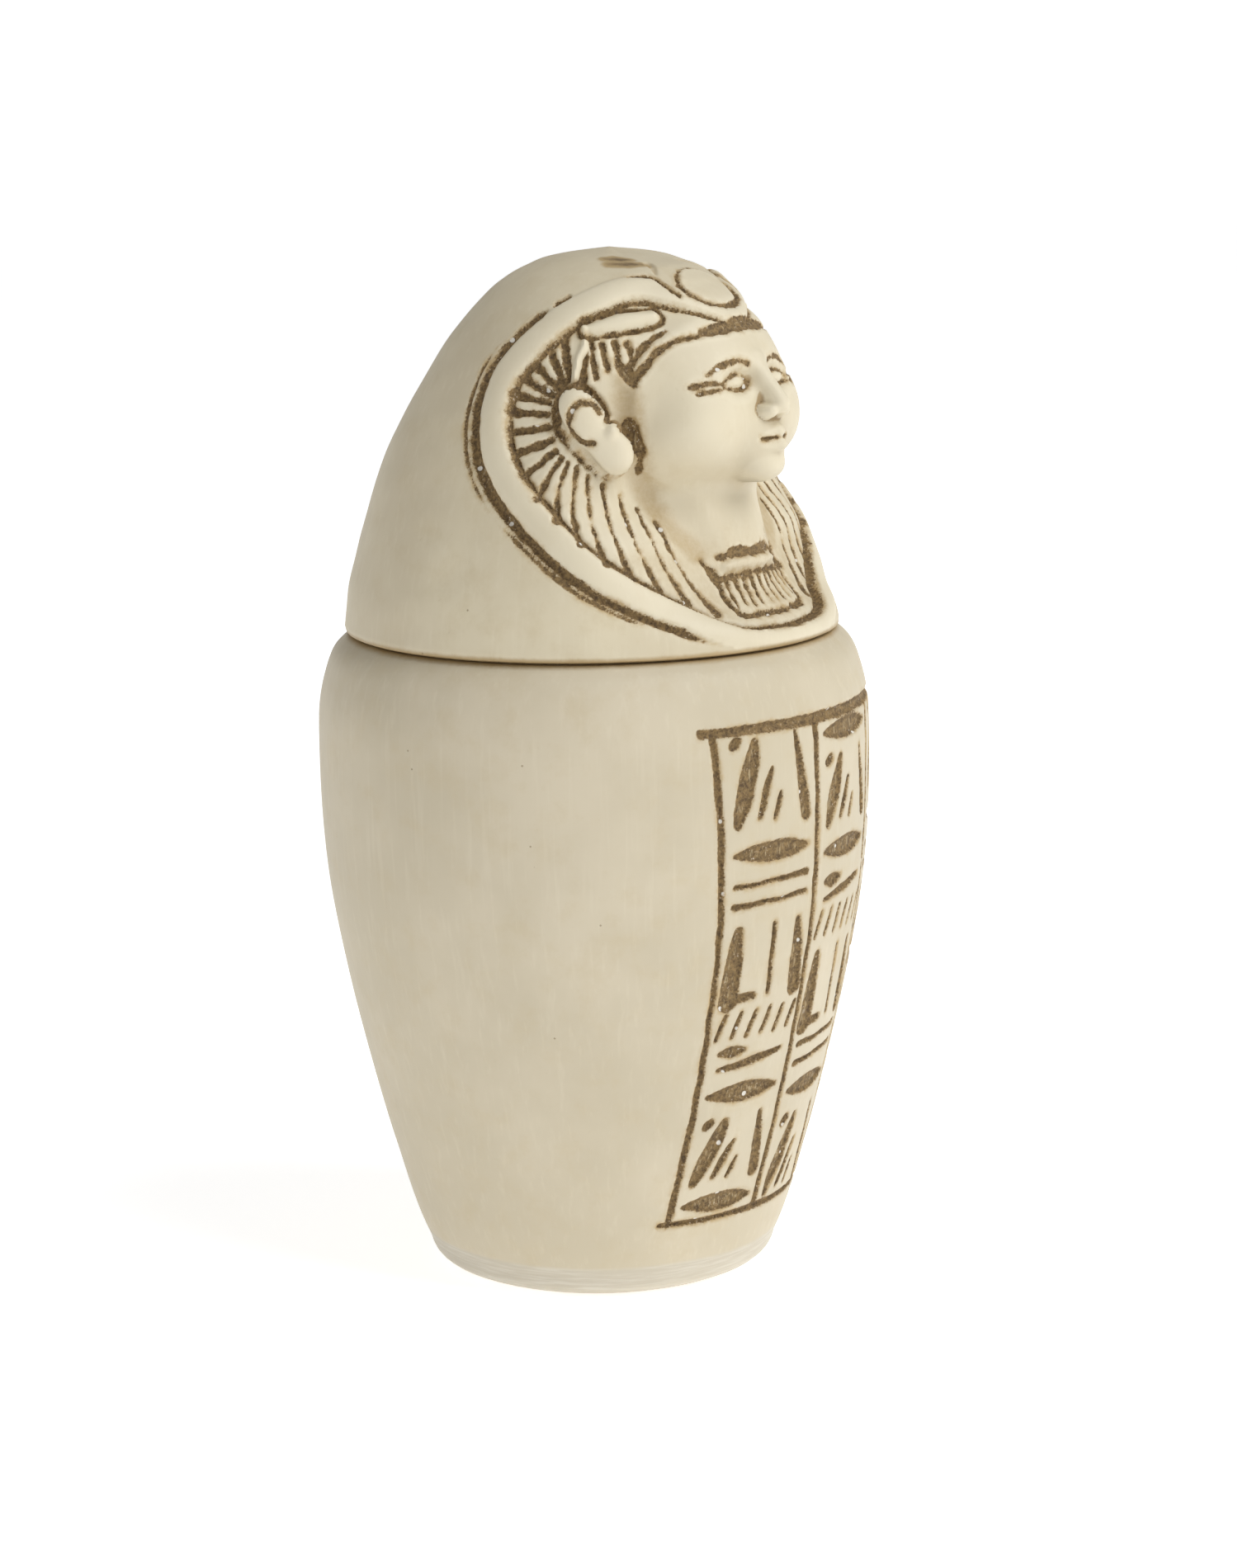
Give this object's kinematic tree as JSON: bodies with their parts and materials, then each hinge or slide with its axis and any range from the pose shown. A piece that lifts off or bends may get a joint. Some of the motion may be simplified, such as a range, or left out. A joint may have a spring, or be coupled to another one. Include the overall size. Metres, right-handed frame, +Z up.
{
  "type": "canopic jar",
  "caption": "Tall-shouldered hollow jar with an incised front panel and a lift-off lid in the shape of a head in a striped headcloth.",
  "frame": {"origin": "middle of the flat underside", "axes": "+Z up through the jar's middle, -Y out of the middle of its carved front panel"},
  "size_m": [0.0878, 0.0878, 0.163],
  "materials": {
    "jar": "satin",
    "head_lid": "satin"
  },
  "bodies": {
    "root": {"jar": "jar", "head_lid": "head_lid"}
  },
  "joints": []
}
